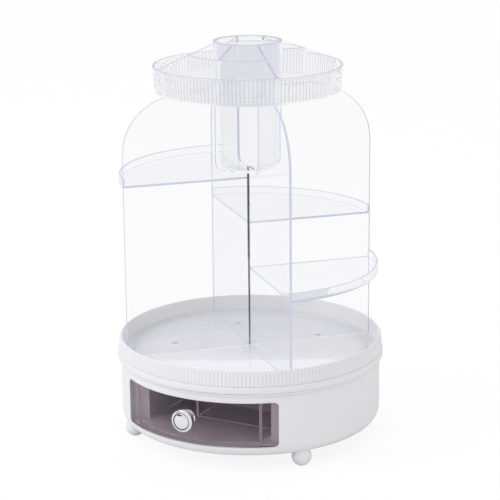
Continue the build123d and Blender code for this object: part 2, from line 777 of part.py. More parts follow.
with BuildPart() as brush_cup:
    with BuildSketch(Plane.XZ):
        with BuildLine():
            Polyline(
                (0, cup_bottom),
                (cup_foot_r, cup_bottom),
                (cup_outer_r, top_bottom),
                (cup_outer_r, collar_top),
                (collar_r, collar_top),
                (collar_r, cup_top),
                (0, cup_top),
                close=True,
            )
        make_face()
    revolve(axis=Axis.Z)
    fillet(brush_cup.edges().filter_by_position(Axis.Z, cup_bottom, cup_bottom), cup_edge_r)
    fillet(brush_cup.edges().filter_by_position(Axis.Z, cup_top, cup_top), cup_rim_t / 2.5)
    with BuildSketch(Plane.XZ):
        with BuildLine():
            Polyline(
                (0, cup_bottom + cup_floor_t),
                (cup_foot_r - cup_wall, cup_bottom + cup_floor_t),
                (cup_outer_r - cup_wall, top_bottom),
                (cup_outer_r - cup_wall, cup_top),
                (0, cup_top),
                close=True,
            )
        make_face()
    revolve(axis=Axis.Z, mode=Mode.SUBTRACT)
    inner_foot = brush_cup.edges().filter_by_position(Axis.Z, cup_bottom + cup_floor_t, cup_bottom + cup_floor_t)
    fillet(inner_foot, cup_edge_r - cup_wall)
brush_cup.part.label = "brush_cup"
export_step(brush_cup.part, "parts/brush_cup.step")

# ---------------------------------------------------------------- drawer ----

with BuildPart() as tub_space:
    with BuildSketch(Plane.XY.offset(drawer_bottom + tub_floor_t)):
        Circle(front_inner_r)
        with Locations((0, -tub_back_y - tub_wall)):
            Rectangle(
                2 * (tub_half - tub_wall), drum_r, align=(Align.CENTER, Align.MAX), mode=Mode.INTERSECT
            )
    extrude(amount=tub_h)
    fillet(tub_space.faces().sort_by(Axis.Z)[0].edges(), tub_fillet)

with BuildPart() as drawer_box:
    with BuildSketch(Plane.XY.offset(drawer_bottom)):
        Circle(front_inner_r + front_t / 2)
        with Locations((0, -tub_back_y)):
            Rectangle(2 * tub_half, drum_r, align=(Align.CENTER, Align.MAX), mode=Mode.INTERSECT)
    extrude(amount=tub_h)
    # curved front, as wide as the opening
    with BuildSketch(Plane.XZ):
        with Locations((0, opening_sill_z + opening_h / 2)):
            RectangleRounded(2 * (opening_half - part_gap), opening_h - 2 * part_gap, front_corner_r)
    extrude(amount=drum_r)
    with BuildSketch(Plane.XY):
        Circle(front_r)
    extrude(amount=drum_top, mode=Mode.INTERSECT)
    add(tub_space.part, mode=Mode.SUBTRACT)
    # what is left behind the ends of the front is cut away
    with BuildSketch(Plane.XY.offset(drawer_bottom)):
        Circle(front_inner_r)
        with Locations((0, -tub_back_y)):
            Rectangle(2 * tub_half, drum_r, align=(Align.CENTER, Align.MAX), mode=Mode.SUBTRACT)
    extrude(amount=opening_h, mode=Mode.SUBTRACT)
    with BuildSketch(Plane.XY.offset(tub_top)):
        Circle(front_inner_r)
    extrude(amount=opening_h, mode=Mode.SUBTRACT)
    # low partition: across to the right-hand wall and back to the rear
    with BuildSketch(Plane.XY.offset(drawer_bottom + tub_floor_t / 2)):
        with Locations((partition_x, -partition_y)):
            Rectangle(tub_half - tub_wall / 2 - partition_x, drawer_partition_t, align=(Align.MIN, Align.CENTER))
            Rectangle(drawer_partition_t, partition_y - tub_back_y - tub_wall / 2, align=(Align.CENTER, Align.MIN))
    extrude(amount=tub_floor_t / 2 + partition_h)
    # ribs that meet the stops
    with BuildSketch(Plane.XY.offset(drawer_bottom + tub_floor_t)):
        for side in (-1, 1):
            with Locations((side * (tub_half + stop_rib_w / 2), -tub_back_y - stop_rib_t / 2)):
                Rectangle(stop_rib_w, stop_rib_t)
    extrude(amount=tub_h - tub_floor_t)
    # hole for the knob's screw
    with BuildSketch(Plane.XZ.offset(front_inner_r - front_t)):
        with Locations((0, knob_z)):
            Circle(knob_shank_r + slip_fit)
    extrude(amount=3 * front_t, mode=Mode.SUBTRACT)
drawer_box.part.label = "drawer_box"
export_step(drawer_box.part, "parts/drawer_box.step")

# The knob is turned about a line along -Y: sketch x is its radius, y its length.
knob_plane = Plane(origin=(0, -front_r, knob_z), x_dir=(1, 0, 0), z_dir=(0, 0, -1))
knob_axis = Axis((0, -front_r, knob_z), (0, -1, 0))
with BuildPart() as drawer_knob:
    with BuildSketch(knob_plane):
        with BuildLine():
            base = Polyline((0, 0), (knob_base_r, 0), (knob_base_r, knob_base_t))
            neck = Line(
                (knob_neck_r, knob_base_t + knob_flare), (knob_neck_r, knob_base_t + knob_neck_l)
            )
            ThreePointArc(
                base @ 1,
                ((knob_base_r + 2 * knob_neck_r) / 3, knob_base_t + knob_flare / 3),
                neck @ 0,
            )
            Polyline(
                neck @ 1,
                (knob_head_r, knob_base_t + knob_neck_l + knob_shoulder),
                (knob_head_r, knob_l),
                (dome_r + slip_fit, knob_l),
                (dome_r + slip_fit, knob_l - dome_recess),
                (0, knob_l - dome_recess),
                (0, 0),
            )
        make_face()
    revolve(axis=knob_axis)
    rim = drawer_knob.edges().filter_by(GeomType.CIRCLE).filter_by(lambda e: abs(e.radius - knob_head_r) < 1e-3)
    fillet(rim, knob_round)
    with BuildSketch(Plane.XZ.offset(front_r)):
        with Locations((0, knob_z)):
            Circle(knob_shank_r + slip_fit)
    extrude(amount=knob_bore_l, mode=Mode.SUBTRACT)
drawer_knob.part.label = "drawer_knob"
export_step(drawer_knob.part, "parts/drawer_knob.step")

dome_foot = knob_l - dome_recess
dome_rise = dome_h - dome_edge
dome_sphere_r = (dome_r**2 + dome_rise**2) / (2 * dome_rise)
with BuildPart() as knob_dome:
    with BuildSketch(knob_plane):
        with Locations((0, dome_foot + dome_h - dome_sphere_r)):
            Circle(dome_sphere_r)
        with Locations((0, dome_foot)):
            Rectangle(dome_r, dome_h, align=(Align.MIN, Align.MIN), mode=Mode.INTERSECT)
    revolve(axis=knob_axis)
knob_dome.part.label = "knob_dome"
export_step(knob_dome.part, "parts/knob_dome.step")

washer_y = sqrt(front_inner_r**2 - knob_washer_r**2) - slip_fit / 2
with BuildPart() as knob_washer:
    with BuildSketch(Plane.XZ.offset(washer_y)):
        with Locations((0, knob_z)):
            Circle(knob_washer_r)
            Circle(knob_shank_r + slip_fit, mode=Mode.SUBTRACT)
    extrude(amount=-knob_washer_t)
knob_washer.part.label = "knob_washer"
export_step(knob_washer.part, "parts/knob_washer.step")

head_y = washer_y - knob_washer_t
with BuildPart() as knob_screw:
    with BuildSketch(Plane.XZ.offset(head_y)):
        with Locations((0, knob_z)):
            Circle(knob_screw_head_r)
    extrude(amount=-knob_screw_head_h)
    fillet(knob_screw.faces().sort_by(Axis.Y)[-1].edges(), knob_screw_head_h / 3)
    with BuildSketch(Plane.XZ.offset(head_y)):
        with Locations((0, knob_z)):
            Circle(knob_shank_r)
    extrude(amount=front_r + knob_bore_l - 1 - head_y)
knob_screw.part.label = "knob_screw"
export_step(knob_screw.part, "parts/knob_screw.step")
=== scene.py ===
# %% [markdown]
# # Rotating cosmetics organizer
# A white round base with a clear drawer carries a fluted turntable. Two clear
# panels cross on the turntable, hold three quarter shelves and carry a clear
# divided tray with a brush cup. Every new surface below is worked out with whole
# numpy arrays; the formula is in the docstring of the function that makes it.

from math import cos, pi, radians, sin

import bmesh
import bpy
import numpy as np
from mathutils import Matrix, Vector


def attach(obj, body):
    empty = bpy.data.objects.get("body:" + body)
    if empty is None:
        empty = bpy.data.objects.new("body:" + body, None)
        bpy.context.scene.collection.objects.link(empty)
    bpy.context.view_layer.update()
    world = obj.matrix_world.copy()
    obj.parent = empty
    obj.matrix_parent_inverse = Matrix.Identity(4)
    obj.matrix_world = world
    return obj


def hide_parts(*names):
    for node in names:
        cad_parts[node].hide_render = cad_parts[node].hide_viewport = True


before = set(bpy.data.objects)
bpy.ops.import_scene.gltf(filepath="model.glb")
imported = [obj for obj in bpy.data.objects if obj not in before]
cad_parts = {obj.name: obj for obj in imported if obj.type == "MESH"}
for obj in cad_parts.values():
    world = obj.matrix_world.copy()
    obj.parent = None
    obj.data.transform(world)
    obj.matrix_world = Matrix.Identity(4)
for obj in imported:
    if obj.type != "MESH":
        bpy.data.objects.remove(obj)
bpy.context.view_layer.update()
scene = bpy.context.scene
MM = 0.001

# %% [markdown]
# ## Outlines and surfaces
# A surface here is a grid of points, rows by columns, joined into quads. A turned
# piece wraps round in both directions; a swept sector wraps in one and gets two
# flat ends.

# %% Surface helpers


def rounded(points, radius, steps=6):
    """Closed outline with round corners. At corner p, u and v are the unit
    directions to its neighbours and g the angle between them. The arc of radius r
    starts at p + u r / tan(g / 2) and ends at p + v r / tan(g / 2), about the
    centre p + (u + v) / |u + v| r / sin(g / 2)."""
    p = np.asarray(points, float)
    r = np.broadcast_to(np.asarray(radius, float), len(p))[:, None]
    u = np.roll(p, 1, 0) - p
    v = np.roll(p, -1, 0) - p
    u /= np.linalg.norm(u, axis=1, keepdims=True)
    v /= np.linalg.norm(v, axis=1, keepdims=True)
    g = np.arccos(np.clip((u * v).sum(1, keepdims=True), -1, 1))
    middle = (u + v) / np.maximum(np.linalg.norm(u + v, axis=1, keepdims=True), 1e-9)
    centre = p + middle * r / np.sin(g / 2)
    first = p + u * r / np.tan(g / 2) - centre
    last = p + v * r / np.tan(g / 2) - centre
    turn = np.maximum(pi - g, 1e-4)[:, :, None]
    t = np.linspace(0, 1, steps)[None, :, None]
    arc = np.sin((1 - t) * turn) * first[:, None] + np.sin(t * turn) * last[:, None]
    return (centre[:, None] + arc / np.sin(turn)).reshape(-1, 2)


def quads(rows, columns, wrap_rows=True, wrap_columns=True):
    """Corner numbers of the quads of a grid whose point (i, j) has number
    i columns + j. A wrapped direction joins its last line to its first."""
    i, j = np.meshgrid(
        np.arange(rows - (not wrap_rows)), np.arange(columns - (not wrap_columns)), indexing="ij"
    )
    down, right = (i + 1) % rows, (j + 1) % columns
    corners = (i * columns + j, i * columns + right, down * columns + right, down * columns + j)
    return np.stack(corners, -1).reshape(-1, 4)


def made(name, points, faces, smooth=35, kinds=None):
    """Mesh object from points in mm. Points that fall together are joined, and
    edges sharper than smooth degrees stay sharp. Kinds gives each face the number
    of its material."""
    mesh = bpy.data.meshes.new(name)
    mesh.from_pydata((np.asarray(points) * MM).tolist(), [], faces)
    if kinds is not None:
        for _ in range(int(max(kinds)) + 1):
            mesh.materials.append(None)
        mesh.polygons.foreach_set("material_index", np.asarray(kinds, np.int32))
    bm = bmesh.new()
    bm.from_mesh(mesh)
    bmesh.ops.remove_doubles(bm, verts=bm.verts, dist=1e-6)
    bmesh.ops.dissolve_degenerate(bm, edges=bm.edges, dist=1e-7)
    bmesh.ops.recalc_face_normals(bm, faces=bm.faces)
    bm.to_mesh(mesh)
    bm.free()
    mesh.shade_smooth()
    mesh.set_sharp_from_angle(angle=radians(smooth))
    piece = bpy.data.objects.new(name, mesh)
    scene.collection.objects.link(piece)
    return piece


def turned_points(profile, steps, ribs=0, depth=0.0, power=1):
    """Profile (r, z) turned about Z: x = (r + d w) cos t, y = (r + d w) sin t.
    The wave w = |cos(ribs t / 2)|^power is 1 on the crest of each rib and 0
    between two ribs; d is the rib depth at that point of the profile."""
    t = np.arange(steps) * 2 * pi / steps
    wave = np.abs(np.cos(ribs * t / 2)) ** power if ribs else np.zeros(steps)
    d = np.broadcast_to(np.asarray(depth, float), len(profile))
    r = profile[:, :1] + d[:, None] * wave
    z = np.broadcast_to(profile[:, 1:], r.shape)
    return np.stack((r * np.cos(t), r * np.sin(t), z), -1).reshape(-1, 3)


def turned(name, profile, steps=256, ribs=0, depth=0.0, smooth=35, power=1):
    """Closed profile (r, z) turned about Z into a mesh object."""
    profile = np.asarray(profile, float)
    points = turned_points(profile, steps, ribs, depth, power)
    return made(name, points, quads(len(profile), steps).tolist(), smooth)


def sector(profile, start, stop, off=0.0, steps=72):
    """Profile (r, z) swept round Z from start to stop degrees. Its two ends keep
    the distance off from the upright planes at those angles, so each point runs
    from start + asin(off / r) to stop - asin(off / r). Gives points and faces."""
    profile = np.asarray(profile, float)
    shift = np.arcsin(np.clip(off / np.maximum(profile[:, 0], 1e-9), -1, 1))[:, None]
    t = np.linspace(0, 1, steps)[None, :]
    a = (radians(start) + shift) * (1 - t) + (radians(stop) - shift) * t
    r = np.broadcast_to(profile[:, :1], a.shape)
    z = np.broadcast_to(profile[:, 1:], a.shape)
    points = np.stack((r * np.cos(a), r * np.sin(a), z), -1).reshape(-1, 3)
    ends = np.arange(len(profile)) * steps
    faces = quads(len(profile), steps, wrap_columns=False).tolist()
    return points, faces + [ends.tolist(), (ends + steps - 1)[::-1].tolist()]


def inset(outline, by):
    """Outline (n, 2) moved inwards: q = p - by m, m = (a + b) / (1 + a . b), where
    a and b are the outward unit normals of the two edges that meet at p."""
    p = np.asarray(outline, float)
    edge = np.roll(p, -1, 0) - p
    area = (p[:, 0] * np.roll(p[:, 1], -1) - p[:, 1] * np.roll(p[:, 0], -1)).sum()
    n = np.stack((edge[:, 1], -edge[:, 0]), 1) * np.sign(area)
    n /= np.maximum(np.linalg.norm(n, axis=1, keepdims=True), 1e-9)
    before = np.roll(n, 1, 0)
    return p - by * (n + before) / np.maximum(1 + (n * before).sum(1, keepdims=True), 0.3)


def sheet(outline, thickness, edge):
    """Flat sheet with the outline (u, z): points (u, w, z) on four loops, the face
    at w = -thickness / 2 and +thickness / 2 inset by edge, the rim between them
    edge further in, joined by bevels and closed by the two faces."""
    outline = np.asarray(outline, float)
    keep = np.linalg.norm(outline - np.roll(outline, 1, 0), axis=1) > 1e-4
    outline = outline[keep]
    inner = inset(outline, edge)
    half = thickness / 2
    loops = ((inner, -half), (outline, edge - half), (outline, half - edge), (inner, half))
    points = np.concatenate(
        [np.column_stack((loop[:, 0], np.full(len(loop), w), loop[:, 1])) for loop, w in loops]
    )
    n = len(outline)
    faces = quads(4, n, wrap_rows=False).tolist()
    return points, faces + [list(range(n))[::-1], list(range(3 * n, 4 * n))]


def spun(points, angle, origin=(0, 0, 0)):
    """Points turned about Z by angle in degrees, then moved by origin."""
    c, s = cos(radians(angle)), sin(radians(angle))
    turn = np.array(((c, -s, 0), (s, c, 0), (0, 0, 1)))
    return np.asarray(points, float) @ turn.T + np.asarray(origin, float)


def joined(parts):
    """Several (points, faces) as one, the corner numbers shifted to match."""
    points, faces, count = [], [], 0
    for p, f in parts:
        points.append(np.asarray(p, float))
        faces += [[k + count for k in face] for face in f]
        count += len(p)
    return np.concatenate(points), faces


def combined(piece, other, operation, smooth=35):
    """Piece joined with other, or cut by it, as plain mesh; other is removed."""
    modifier = piece.modifiers.new("combine", "BOOLEAN")
    modifier.object = other
    modifier.operation = operation
    modifier.solver = "EXACT"
    modifier.use_self = operation == "UNION"
    ready = piece.evaluated_get(bpy.context.evaluated_depsgraph_get())
    mesh = bpy.data.meshes.new_from_object(ready)
    piece.modifiers.clear()
    piece.data = mesh
    bpy.data.objects.remove(other)
    mesh.shade_smooth()
    mesh.set_sharp_from_angle(angle=radians(smooth))
    return piece


def smooth_copy(name, node, smooth=35):
    """New piece with the shape of a CAD node, its loose triangles joined."""
    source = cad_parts[node].data
    points = np.zeros(len(source.vertices) * 3, np.float32)
    source.vertices.foreach_get("co", points)
    corners = np.zeros(len(source.loops), np.int32)
    source.loops.foreach_get("vertex_index", corners)
    return made(name, points.reshape(-1, 3) / MM, corners.reshape(-1, 3).tolist(), smooth)


def edged(piece, above, kind):
    """Gives the material numbered kind to the top edges above a height in mm: the
    faces whose normal points more than 20 degrees upwards."""
    mesh = piece.data
    normals = np.zeros(len(mesh.polygons) * 3, np.float32)
    mesh.polygons.foreach_get("normal", normals)
    centres = np.zeros(len(mesh.polygons) * 3, np.float32)
    mesh.polygons.foreach_get("center", centres)
    upward = (normals[2::3] > sin(radians(20))) & (centres[2::3] > above * MM)
    mesh.polygons.foreach_set("material_index", kind * upward.astype(np.int32))


def fluted(piece, ribs, above, radius):
    """Gives the fourth material, the painted shade of the flutes, to the valleys
    between the ribs of a turned wall: the faces above a height and outside a radius
    in mm whose centre lies at an angle t with |cos(ribs t / 2)| < 0.6."""
    mesh = piece.data
    centres = np.zeros(len(mesh.polygons) * 3, np.float32)
    mesh.polygons.foreach_get("center", centres)
    x, y, z = centres.reshape(-1, 3).T / MM
    index = np.zeros(len(mesh.polygons), np.int32)
    mesh.polygons.foreach_get("material_index", index)
    valley = np.abs(np.cos(ribs * np.arctan2(y, x) / 2)) < 0.6
    index[valley & (z > above) & (np.hypot(x, y) > radius)] = 3
    mesh.polygons.foreach_set("material_index", index)


def placed(piece, body, slot, materials, *nodes):
    """Gives a piece its body and its materials, and hides the CAD nodes it stands for; the slot argument is not used.
    """
    materials = materials if isinstance(materials, tuple) else (materials,)
    index = np.zeros(len(piece.data.polygons), np.int32)
    piece.data.polygons.foreach_get("material_index", index)
    piece.data.materials.clear()
    for material in materials:
        piece.data.materials.append(material)
    piece.data.polygons.foreach_set("material_index", np.minimum(index, len(materials) - 1))
    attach(piece, body)
    if nodes:
        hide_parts(*nodes)
    return piece


# %% [markdown]
# ## Materials
# The clear plastic refracts and takes up a little red and green on the way, so a
# sheet looks clear across and lavender along its length. Lamps and soft light pass
# straight through it, and a ray that has met many walls ends in a painted glow.

# %% Materials


BEND = 1.18    # index of refraction of the clear pieces, low so that sheets seen end-on stay light


def plastic(name, colour, roughness, coat=0.0, specular=0.5):
    """Opaque plastic."""
    material = bpy.data.materials.new(name)
    material.use_nodes = True
    shader = material.node_tree.nodes["Principled BSDF"]
    shader.inputs["Base Color"].default_value = (*colour, 1)
    shader.inputs["Roughness"].default_value = roughness
    shader.inputs["Specular IOR Level"].default_value = specular
    shader.inputs["Coat Weight"].default_value = coat
    shader.inputs["Coat Roughness"].default_value = 0.12
    return material


def metal(name, colour, roughness):
    """Plain metal."""
    material = plastic(name, colour, roughness)
    material.node_tree.nodes["Principled BSDF"].inputs["Metallic"].default_value = 1
    return material


def clear(name, colour, passing=1.0, roughness=0.02, inner=(0.90, 0.90, 0.94)):
    """Clear plastic: a refracting surface that tints what passes. Passing below 1
    makes it part milky, as a sawn edge is. A ray that has met many walls ends in a
    painted glow of the inner colour, which stands in for the mean light inside the piece."""
    material = bpy.data.materials.new(name)
    material.use_nodes = True
    tree = material.node_tree
    nodes, link = tree.nodes, tree.links.new
    shader = nodes["Principled BSDF"]
    shader.inputs["Base Color"].default_value = (*colour, 1)
    shader.inputs["Roughness"].default_value = roughness
    shader.inputs["IOR"].default_value = BEND
    shader.inputs["Transmission Weight"].default_value = passing
    through = nodes.new("ShaderNodeBsdfTransparent")
    path = nodes.new("ShaderNodeLightPath")
    many = nodes.new("ShaderNodeMath")
    many.operation = "GREATER_THAN"
    many.inputs[1].default_value = 9.5
    link(path.outputs["Transmission Depth"], many.inputs[0])
    mirrored = nodes.new("ShaderNodeMath")
    mirrored.operation = "GREATER_THAN"
    mirrored.inputs[1].default_value = 2.5
    link(path.outputs["Glossy Depth"], mirrored.inputs[0])
    late = nodes.new("ShaderNodeMath")
    late.operation = "MAXIMUM"
    link(many.outputs[0], late.inputs[0])
    link(mirrored.outputs[0], late.inputs[1])
    soft = nodes.new("ShaderNodeMath")
    soft.operation = "MAXIMUM"
    link(path.outputs["Is Shadow Ray"], soft.inputs[0])
    link(path.outputs["Is Diffuse Ray"], soft.inputs[1])
    # Painted glow: late rays end in an emission of the inner colour, standing in for the light inside the piece.
    painted_glow = nodes.new("ShaderNodeEmission")
    painted_glow.inputs["Color"].default_value = (*inner, 1)
    first = nodes.new("ShaderNodeMixShader")
    link(late.outputs[0], first.inputs[0])
    link(shader.outputs[0], first.inputs[1])
    link(painted_glow.outputs[0], first.inputs[2])
    mix = nodes.new("ShaderNodeMixShader")
    link(soft.outputs[0], mix.inputs[0])
    link(first.outputs[0], mix.inputs[1])
    link(through.outputs[0], mix.inputs[2])
    output = nodes["Material Output"]
    link(mix.outputs[0], output.inputs["Surface"])
    return material


white = plastic("white_plastic", (0.87, 0.87, 0.895), 0.38)
race_white = plastic("bearing_plastic", (0.74, 0.74, 0.76), 0.6)
steel = metal("steel", (0.55, 0.55, 0.57), 0.32)
chrome = metal("chrome", (0.90, 0.90, 0.92), 0.08)
glass = clear("clear_plastic", (0.965, 0.965, 0.975))
glass_edge = clear("clear_edge", (0.72, 0.73, 0.88), 0.25, 0.1)
glass_rim = clear("clear_rim", (0.56, 0.57, 0.74), 0.3, 0.1)
tray_glass = clear("clear_tray", (0.96, 0.96, 0.968))
# Darker, part milky copy of the clear plastic: painted shade for the valleys between the flutes.
flute_painted_shade = clear("clear_flute_painted_shade", (0.74, 0.74, 0.79), 0.85, 0.05)
disc_glass = clear("clear_disc", (0.92, 0.92, 0.95))
cup_glass = clear("clear_cup", (0.95, 0.95, 0.96))
# The drawer's inner colour is painted shade: rays that met many walls inside it end in a dark glow for the shaded
# drum inside.
drawer_glass = clear("drawer_clear", (0.92, 0.87, 0.90), 1.0, 0.02, (0.22, 0.19, 0.21))
# Lit and shaded copies of the milky drawer edge: painted light on its side and top faces, painted shade on its
# underside.
drawer_edge_painted_lit = clear("drawer_painted_lit_edge", (0.88, 0.87, 0.92), 0.2, 0.1)
drawer_edge_painted_shade = clear("drawer_painted_shade_edge", (0.06, 0.04, 0.12), 0.2, 0.1)
# White plastic darkened to mauve grey: painted shade for the drawer cell deep in the drum.
painted_shade_white = plastic("white_plastic_painted_shade", (0.50, 0.47, 0.49), 0.5)
# Near-black metal: painted shade in the recessed ring round the knob's dome.
groove_painted_shade = metal("groove_painted_shade", (0.05, 0.05, 0.055), 0.3)
EDGED = (glass, glass_edge, glass_rim)

# %% [markdown]
# ## Base
# Drum with its drawer opening, deck and ball feet.

# %% Drum, deck and feet
drum = turned(
    "drum",
    rounded(
        [(0, 12.5), (112, 12.5), (112, 65.5), (109.6, 65.5), (109.6, 14.9), (0, 14.9)],
        [0, 10, 0.25, 0.25, 7.6, 0],
        10,
    ),
    360,
)
opening = rounded([(-70.8, 21.6), (70.8, 21.6), (70.8, 60.6), (-70.8, 60.6)], 3.6, 8)
points, faces = sheet(opening, 60, 0.0)
cutter = made("cutter", points + (0, -90, 0), faces)
combined(drum, cutter, "DIFFERENCE")
placed(drum, "base", "white_plastic", white, "drum_shell")

deck = turned(
    "deck",
    rounded(
        [
            (6.06, 56.8), (9.06, 56.8), (9.06, 62.8), (107.5, 62.8), (107.5, 61.2), (109.5, 61.2),
            (109.5, 65.6), (112, 65.6), (112, 68.3), (106, 68.3), (106, 65.0), (9.06, 65.0),
            (9.06, 70.0), (6.06, 70.0),
        ],
        [0, 0, 0, 0, 0, 0, 0, 0.25, 0.6, 0.6, 0, 0, 0, 0],
        4,
    ),
    360,
)
placed(deck, "base", "white_plastic", white, "drum_deck")

ball_t = np.linspace(-np.arcsin(8.0 / 8.3), pi / 2, 40)
ball = np.column_stack((8.3 * np.cos(ball_t), 8.0 + 8.3 * np.sin(ball_t)))
ball = np.vstack((ball, (0, 0.0)))
ball_points = turned_points(ball, 72)
feet = made(
    "ball_feet_round",
    *joined(
        (ball_points + (102.5 * cos(radians(a)), 102.5 * sin(radians(a)), 0), quads(len(ball), 72).tolist())
        for a in (218.5, 321.5, 38.5, 141.5)
    ),
)
placed(feet, "base", "white_plastic", white, "ball_feet")

# %% [markdown]
# ## Turntable
# Tray with a fluted wall, its clear disc, the two crossed panels and the shelves.

# %% Tray
tray_profile = np.array(
    [
        (0, 71.5, 0, 0), (99.0, 71.5, 0, 0), (100.2, 70.3, 0, 0), (109.7, 70.3, 0, 0),
        (109.7, 69.3, 0, 0), (115, 69.3, 0.5, 0), (115, 75.0, 1.4, 0), (113.5, 75.0, 0, 0),
        (113.5, 75.2, 0, 0.9), (112.3, 86.1, 0, 0.9), (112.2, 86.4, 0, 0),
        (112.3, 87.6, 0.45, 0), (110.9, 87.6, 0.45, 0), (110.9, 72.0, 0.6, 0), (100, 72.0, 0.3, 0),
        (100, 73.2, 0.3, 0), (88.6, 73.2, 0, 0), (88.4, 72.95, 0, 0), (87.6, 72.95, 0, 0),
        (87.4, 73.2, 0, 0), (76.6, 73.2, 0, 0), (76.4, 72.95, 0, 0), (75.6, 72.95, 0, 0),
        (75.4, 73.2, 0, 0), (54.6, 73.2, 0, 0), (54.4, 72.95, 0, 0), (53.6, 72.95, 0, 0),
        (53.4, 73.2, 0, 0), (42.6, 73.2, 0, 0), (42.4, 72.95, 0, 0), (41.6, 72.95, 0, 0),
        (41.4, 73.2, 0, 0), (0, 73.2, 0, 0),
    ]
)
ROUND_STEPS = 3
tray = turned(
    "turntable",
    rounded(tray_profile[:, :2], tray_profile[:, 2], ROUND_STEPS),
    216 * 8,
    216,
    np.repeat(tray_profile[:, 3], ROUND_STEPS),
    40,
)
placed(tray, "turntable", "white_plastic", white, "turntable_tray")

head = rounded([(0, 73.2), (2.7, 73.2), (2.7, 73.32), (0, 73.32)], [0, 0, 0.08, 0], 3)
head_points = turned_points(head, 32)
heads = made(
    "screw_heads",
    *joined(
        (head_points + (66.7 * cos(radians(a)), 66.7 * sin(radians(a)), 0), quads(len(head), 32).tolist())
        for a in range(270, 630, 72)
    ),
)
placed(heads, "turntable", "steel", steel, "race_screws")

# %% Clear disc with its slotted ring
disc = turned(
    "clear_disc",
    rounded([(0, 73.35), (110.4, 73.35), (110.4, 74.5), (0, 74.5)], [0, 0.2, 0.35, 0], 4),
    256,
)
placed(disc, "turntable", "clear_plastic", disc_glass, "tray_insert")
ring = rounded([(5.2, 74.52), (6.4, 74.52), (6.4, 76.9), (5.2, 76.9)], 0.2, 3)
boss = made("clear_ring", *joined(sector(ring, a, a + 90, 1.2, 16) for a in (-45, 45, 135, 225)))
placed(boss, "turntable", "clear_plastic", glass)

# %% Crossed panels
FOOT, TOP, LAP, NOTCH = 74.56, 298.5, 153.0, 231.5
shoulder = [(110, TOP), (29, TOP), (29, NOTCH)]
mirror = [(-u, z) for u, z in shoulder[::-1]]
panel_a = rounded(
    [(-110, FOOT), (110, FOOT)] + shoulder + [(1.1, NOTCH), (1.1, LAP), (-1.1, LAP), (-1.1, NOTCH)] + mirror,
    [0.5, 0.5, 48, 3, 8, 0.2, 0.2, 0.2, 0.2, 8, 3, 48],
    16,
)
panel_b = rounded(
    [(-110, FOOT), (-1.1, FOOT), (-1.1, LAP), (1.1, LAP), (1.1, FOOT), (110, FOOT)] + shoulder + mirror,
    [0.5, 0.2, 0.2, 0.2, 0.2, 0.5, 48, 3, 8, 8, 3, 48],
    16,
)
for name, outline, angle in (("divider_panel_a", panel_a, 45), ("divider_panel_b", panel_b, 135)):
    points, faces = sheet(outline, 2.0, 0.3)
    kinds = np.repeat((2, 1, 2), (len(faces) - 2) // 3)
    inside = np.abs(points[np.asarray(faces[:-2])].mean(1)[:, 0]) < 2.5    # walls of the half-lap slot
    kinds[inside] = 0
    panel = made(name + "_clear", spun(points, angle), faces, 35, np.append(kinds, (0, 0)))
    placed(panel, "turntable", "clear_plastic", EDGED, name)

# %% Quarter shelves
for name, start, under in (("shelf_high", 135, 222.7), ("shelf_middle", 45, 183.2), ("shelf_low", -45, 143.5)):
    shelf = rounded(
        [(1.6, under), (110, under), (110, under + 8), (108.4, under + 8), (108.4, under + 1.8), (1.6, under + 1.8)],
        [0, 0.5, 0.5, 0.5, 0.6, 0],
        4,
    )
    points, faces = sector(shelf, start, start + 90, 1.1, 72)
    row = np.repeat(np.arange(len(shelf)), 71)
    kinds = np.append(np.where((row > 8) & (row < 15), 1, np.where((row > 3) & (row < 7), 2, 0)), (1, 1))
    piece = made(name + "_clear", points, faces, 35, kinds)
    placed(piece, "turntable", "clear_plastic", EDGED, name)

# %% [markdown]
# ## Lift-off top
# A fluted tray with a collar and partitions, and the brush cup that hangs in it.

# %% Top tray
TRAY_LOW, TRAY_RIM, COLLAR_TOP = 298.85, 321.35, 340.45
top_profile = np.array(
    [
        (27.8, TRAY_LOW, 0.2, 0), (77.9, TRAY_LOW, 1.5, 0), (78.0, 301.6, 0, 0),
        (78.03, 301.75, 0, 0.9), (78.8, 319.3, 0, 0.9), (78.85, 319.45, 0, 0),
        (79.8, 319.5, 0, 0), (79.9, TRAY_RIM, 0.5, 0), (77.8, TRAY_RIM, 0.5, 0),
        (76.7, 300.85, 1.0, 0), (29, 300.85, 0.8, 0), (29, COLLAR_TOP, 0.3, 0),
        (27.8, COLLAR_TOP, 0.3, 0),
    ]
)
TOP_STEPS = 4
top = turned(
    "top_tray_clear",
    rounded(top_profile[:, :2], top_profile[:, 2], TOP_STEPS),
    148 * 6,
    148,
    np.repeat(top_profile[:, 3], TOP_STEPS) * 0.6,
    40,
    2,
)
long_wall = rounded([(28.4, 299.85), (76.9, 299.85), (78.3, 321.2), (28.4, 340.3)], [0, 0, 0.3, 0.3], 4)
short_wall = rounded([(28.4, 299.85), (51, 299.85), (51, 331.8), (28.4, 340.3)], [0, 0, 0.3, 0.3], 4)
arc_wall = rounded([(50, 299.85), (52, 299.85), (52, 331.8), (50, 331.8)], [0, 0, 0.3, 0.3], 4)
walls = []
for angle in (45, 135, 225, 315):
    points, faces = sheet(long_wall, 2.0, 0.15)
    walls.append((spun(points, angle), faces))
for angle in (90, 270):
    points, faces = sheet(short_wall, 2.0, 0.15)
    walls.append((spun(points, angle), faces))
for angle in (45, 225):
    walls.append(sector(arc_wall, angle, angle + 90, -0.4, 60))
combined(top, made("walls", *joined(walls)), "UNION", 40)
edged(top, TRAY_LOW + 4, 2)
# The flute valleys take the painted shade.
fluted(top, 148, TRAY_LOW + 2, 77.9)
placed(top, "top", "clear_plastic", (tray_glass, glass_edge, glass_rim, flute_painted_shade), "top_tray")

